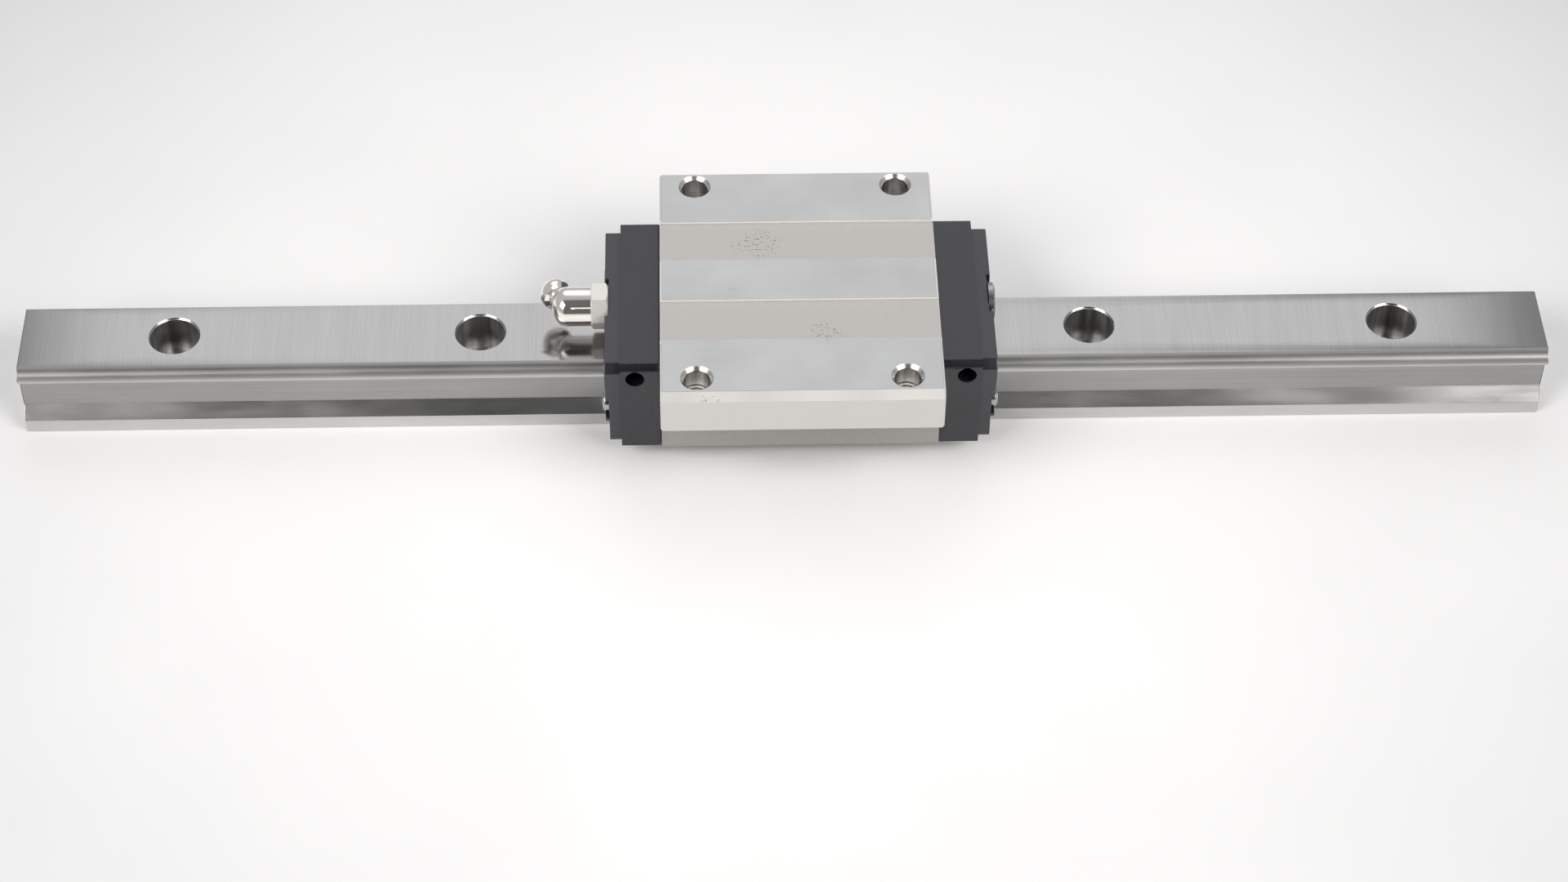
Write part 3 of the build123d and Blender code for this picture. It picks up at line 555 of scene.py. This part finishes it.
# ---------------------------------------------------------------- rail
def make_rail():
    """The rail's outline drawn out along X, with its ends broken and its counterbored holes cut out."""
    upper = arc((RAIL_HALF, RIDGE_TOP + GROOVE_R), GROOVE_R, 180, 270)
    lower = arc((RAIL_HALF, RIDGE_BOTTOM - GROOVE_R), GROOVE_R, 90, 180)
    neck_z = lower[-1][1] - (lower[-1][0] - RAIL_WAIST_HALF)
    side = upper + lower + [
        (RAIL_WAIST_HALF, neck_z),
        (RAIL_WAIST_HALF, WAIST_BOTTOM),
        (RAIL_HALF, RAIL_BASE),
        (RAIL_HALF, EDGE),
        (RAIL_HALF - EDGE, 0.0),
    ]
    outline = side + [(-y, z) for y, z in reversed(side)]
    shape = bmesh.new()
    rings = [[shape.verts.new((x, y, z)) for y, z in outline] for x in (RAIL_LOW.x, RAIL_HIGH.x)]
    join_rings(shape, rings)
    rims = [edge for edge in shape.edges if abs(edge.verts[0].co.x - edge.verts[1].co.x) < EDGE]
    bmesh.ops.bevel(shape, geom=rims, offset=EDGE, segments=2, profile=0.5, affect="EDGES")
    rail = make_object("rail_profile", shape)
    cutters = []
    for index in range(RAIL_HOLES):
        x = RAIL_PITCH * (index - (RAIL_HOLES - 1) / 2)
        profile = [
            (BOLT_R, -1.0),
            (BOLT_R, RAIL_TOP - BORE_DEPTH),
            (BORE_R, RAIL_TOP - BORE_DEPTH),
            (BORE_R, RAIL_TOP - EDGE),
            (BORE_R + EDGE, RAIL_TOP),
            (BORE_R + EDGE, RAIL_TOP + 1.0),
        ]
        cutters.append(make_object("cutter", lathe(profile, Matrix.Translation((x, 0, 0)))))
    cut(rail, cutters)
    finish_piece(rail, "rail_steel", "rail", replaces=["rail"])


make_rail()


# ---------------------------------------------------------------- block with tapped holes
def thread_cutter(x, y):
    """An M6 thread's hollow, with a countersunk mouth at both ends."""
    shape = bmesh.new()
    around, steps = 48, 12
    low, high = FLANGE_BOTTOM - 1.0, BLOCK_TOP + 1.0
    rings = []
    for level in range(round((high - low) * steps) + 1):
        z = low + level / steps
        mouth = MOUTH_R - min(max(min(BLOCK_TOP - z, z - FLANGE_BOTTOM), 0.0), MOUTH_R)
        ring = []
        for index in range(around):
            turn = index / around
            phase = (z / THREAD_PITCH - turn) % 1.0
            threaded = z < BLOCK_TOP - THREAD_START
            groove = max(0.0, 1.0 - abs(2 * phase - 1.0) * THREAD_SLOPE) if threaded else 0.0
            radius = max(THREAD_R + THREAD_DEPTH * groove, mouth)
            angle = 2 * math.pi * turn
            ring.append(shape.verts.new((x + radius * math.cos(angle), y + radius * math.sin(angle), z)))
        rings.append(ring)
    join_rings(shape, rings)
    return make_object("cutter", shape)


def make_block():
    block = make_object("block_body", copy_of("block"))
    corners = [(side_x, side_y) for side_x in (-1, 1) for side_y in (-1, 1)]
    cut(block, [thread_cutter(BLOCK_X + sx * TAPPED_X, sy * TAPPED_Y) for sx, sy in corners])
    finish_piece(block, "block_steel", "carriage", 30.0, replaces=["block"])


make_block()


# ---------------------------------------------------------------- caps and seal plates
def make_moulding(name, bevel, slot, sharp_x):
    """A moulded end piece with its outside edges rounded over, apart from those in the plane of its joint."""
    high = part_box(name)[1] / MM
    shape = copy_of(name)
    slope = max(abs(v.co.y) + v.co.z for v in shape.verts if v.co.z > high.z - WELD)

    def outside(point):
        on_side = abs(abs(point.y) - high.y) < WELD
        on_top = abs(point.z - high.z) < WELD
        on_slope = abs(abs(point.y) + point.z - slope) < WELD
        return on_side or on_top or on_slope

    rims = []
    for edge in shape.edges:
        first, second = (vertex.co for vertex in edge.verts)
        if not (outside(first) and outside(second) and outside((first + second) / 2)):
            continue
        if abs(first.x - sharp_x) < WELD and abs(second.x - sharp_x) < WELD:
            continue
        if edge.calc_face_angle(0.0) > math.radians(BEVELLED_DEG):
            rims.append(edge)
    bmesh.ops.bevel(shape, geom=rims, offset=bevel, segments=2, profile=0.5, affect="EDGES")
    moulding = make_object(name + "_moulded", shape)
    finish_piece(moulding, slot, "carriage", 30.0, replaces=[name], weighted=True)


for end_name, side in (("left", 0), ("right", 1)):
    joint_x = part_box("end_cap_" + end_name)[side].x / MM
    make_moulding("end_cap_" + end_name, CAP_BEVEL, "cap_plastic", joint_x)
    make_moulding("seal_plate_" + end_name, PLATE_BEVEL, "seal_plastic", joint_x)


# ---------------------------------------------------------------- grease nipple
def along(origin, axis):
    """The turn that stands a lathed shape's Z along an axis, at an origin."""
    return Matrix.Translation(origin) @ axis.to_track_quat("Z", "Y").to_matrix().to_4x4()


HEAD_CROSSING = Vector((NIPPLE_LOW.x + ELBOW_INSET, 0, PORT_Z))
HEAD_AXIS = Vector((math.cos(HEAD_AZIMUTH), math.sin(HEAD_AZIMUTH), 0))


def make_nipple_body():
    """The stub and elbow turned in one, with the hexagon added and the head's seat cut out."""
    reach = NIPPLE_HIGH.x - STUB_LENGTH - NIPPLE_LOW.x
    outwards = along((NIPPLE_HIGH.x - STUB_LENGTH, 0, PORT_Z), Vector((-1, 0, 0)))
    stub = [(STUB_R, -STUB_LENGTH), (STUB_R, WELD), (STUB_R * 1.5, WELD * 2)]
    root = [(ELBOW_R - EDGE, HEX_LENGTH / 2), (ELBOW_R, HEX_LENGTH / 2 + EDGE)]
    nose = arc((ELBOW_R - ELBOW_ROUND, reach - ELBOW_ROUND), ELBOW_ROUND, 0, 90, 12)
    body = make_object("nipple_elbow", lathe(stub + root + nose, outwards))
    corner_r = HEX_WIDTH / math.sqrt(3)
    cone = (corner_r - HEX_FACE_R) * math.tan(math.radians(30))
    turned = [(HEX_FACE_R, 0.0), (corner_r, cone), (corner_r, HEX_LENGTH - cone), (HEX_FACE_R, HEX_LENGTH)]
    hexagon = make_object("hexagon", lathe([(corner_r, 0.0), (corner_r, HEX_LENGTH)], outwards, 6))
    cut(hexagon, [make_object("cone", lathe(turned, outwards))], "INTERSECT")
    cut(body, [hexagon], "UNION")
    seat = [(SEAT_R, SEAT_START), (SEAT_R, SEAT_START + 2 * ELBOW_R)]
    cut(body, [make_object("seat", lathe(seat, along(HEAD_CROSSING, HEAD_AXIS)))])
    finish_piece(body, "nipple_nickel", "carriage", 28.0, replaces=["nipple_body"])


def make_nipple_head():
    """The head turned round its own axis: neck, collar, cone, band and dome, then back down its bore."""
    profile = [
        (NECK_R, 0.0),
        (NECK_R, SEAT_START),
        (COLLAR_R, SEAT_START),
        (COLLAR_R, COLLAR_END),
        (NECK_R, COLLAR_END),
        (NECK_R, HEAD_CONE_START),
        (HEAD_R, HEAD_CONE_END),
        (HEAD_R, HEAD_BAND_END),
    ]
    for index in range(1, DOME_STEPS + 1):
        share = index / DOME_STEPS
        bulge = 4 * share * (1 - share) * (HEAD_DOME_R - (HEAD_R + HEAD_FACE_R) / 2)
        radius = HEAD_R + (HEAD_FACE_R - HEAD_R) * share + bulge
        profile.append((radius, HEAD_BAND_END + (HEAD_END - HEAD_BAND_END) * share))
    profile += [
        (OPENING_R, HEAD_END),
        (OPENING_R, HEAD_END - OPENING_LENGTH),
        (HEAD_BORE_R, HEAD_END - OPENING_LENGTH),
        (HEAD_BORE_R, HEAD_BORE_START),
    ]
    head = make_object("nipple_head_turned", lathe(profile, along(HEAD_CROSSING, HEAD_AXIS)))
    finish_piece(head, "nipple_nickel", "carriage", 28.0, replaces=["nipple_head"])


def make_check_spring():
    """The check ball's spring, copied from its CAD node into a mesh of its own."""
    spring = make_object("check_spring", copy_of("nipple_spring"))
    finish_piece(spring, "spring_steel", "carriage", 40.0, replaces=["nipple_spring"])
    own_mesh(spring)


make_nipple_body()
make_nipple_head()
make_check_spring()


# ---------------------------------------------------------------- studio, in metres unless said
FLOOR_HALF = 3.0
FLOOR_BRIGHT, FLOOR_DIM = (0.975, 0.97, 0.975, 1), (0.60, 0.60, 0.61, 1)
FLOOR_BRIGHT_R, FLOOR_DIM_R = 30.0, 320.0  # millimetres from the middle, between which the colour is painted darker, a painted falloff of light

ROOM_COLOR = (0.985, 0.99, 1.0, 1.0)
ROOM_STRENGTH = 0.43
GLOW_STRENGTH = 1.24  # the bright place behind the object
GLOW_AZIMUTH, GLOW_ELEVATION = math.radians(181), math.radians(46)
GLOW_CORE, GLOW_EDGE = math.radians(5), math.radians(29)  # how far from its middle it is full, and ends
SHADE_STRENGTH = 0.12  # the share of the room's light left in the dark strip in front
SHADE_TURN = math.radians(6)  # how far the strip is turned to the left
SHADE_CORE, SHADE_EDGE = math.radians(16), math.radians(28)
SHADE_END = -0.25  # overhead, the strip fades out between this Y of a unit direction and 0

SOFTBOX_AZIMUTH, SOFTBOX_ELEVATION = math.radians(52), math.radians(40)
SOFTBOX_RADIANCE = 5.5
SOFTBOX_COLOR = (1.0, 0.985, 0.96)
SOFTBOX_SIDE = 0.9
SOFTBOX_DISTANCE = 1.6


def make_floor():
    mesh = bpy.data.meshes.new("floor")
    corners = [(sx * FLOOR_HALF, sy * FLOOR_HALF, 0) for sx, sy in ((-1, -1), (1, -1), (1, 1), (-1, 1))]
    mesh.from_pydata(corners, [], [(0, 1, 2, 3)])
    floor = link(bpy.data.objects.new("floor", mesh))
    shader = Shader("floor_white")
    x, y, _ = shader.axes()
    # painted falloff of light: the floor is painted darker away from the middle
    painted_falloff = shader.remap(shader.distance(x, y), FLOOR_BRIGHT_R, FLOOR_DIM_R, 0.0, 1.0, smooth=True)
    cloud = shader.remap(shader.noise(0.012, 3.0, 0.5), 0, 1, -0.06, 0.06)
    uneven = shader.math("ADD", painted_falloff, cloud)
    shader.set(Base_Color=shader.mix(uneven, FLOOR_BRIGHT, FLOOR_DIM), Roughness=0.8)
    mesh.materials.append(shader.material)


def make_world():
    """A pale room with a bright place high behind the object and a dark upright strip in front of it."""
    world = bpy.data.worlds.new("studio")
    world.use_nodes = True
    bpy.context.scene.world = world
    room = Graph(world.node_tree)
    looking = room.node("ShaderNodeTexCoord").outputs["Generated"]

    facing = room.node("ShaderNodeVectorMath", operation="DOT_PRODUCT")
    room.feed(looking, facing.inputs[0])
    room.feed(direction(GLOW_AZIMUTH, GLOW_ELEVATION), facing.inputs[1])
    limits = (math.cos(GLOW_EDGE), math.cos(GLOW_CORE), ROOM_STRENGTH, GLOW_STRENGTH)
    glow = room.remap(facing.outputs["Value"], *limits, smooth=True)

    split = room.node("ShaderNodeSeparateXYZ")
    room.feed(looking, split.inputs[0])
    aside = room.math("ABSOLUTE", room.math("ADD", split.outputs[0], math.sin(SHADE_TURN)))
    across = room.remap(aside, math.sin(SHADE_CORE), math.sin(SHADE_EDGE), SHADE_STRENGTH, 1.0, smooth=True)
    behind = room.remap(split.outputs[1], SHADE_END, 0.0, 0.0, 1.0, smooth=True)
    shade = room.math("MAXIMUM", across, behind)

    background = room.tree.nodes["Background"]
    background.inputs["Color"].default_value = ROOM_COLOR
    room.feed(room.math("MULTIPLY", glow, shade), background.inputs["Strength"])


def make_softboxes():
    for name, azimuth in (("softbox_left", -SOFTBOX_AZIMUTH), ("softbox_right", SOFTBOX_AZIMUTH)):
        towards = direction(azimuth, SOFTBOX_ELEVATION)
        data = bpy.data.lights.new(name, "AREA")
        data.shape = "SQUARE"
        data.size = SOFTBOX_SIDE
        data.energy = SOFTBOX_RADIANCE * math.pi * SOFTBOX_SIDE**2
        data.color = SOFTBOX_COLOR
        lamp = link(bpy.data.objects.new(name, data))
        lamp.location = towards * SOFTBOX_DISTANCE
        lamp.rotation_mode = "QUATERNION"
        lamp.rotation_quaternion = (-towards).to_track_quat("-Z", "Y")


make_floor()
make_world()
make_softboxes()
bpy.context.scene.view_settings.view_transform = "Standard"
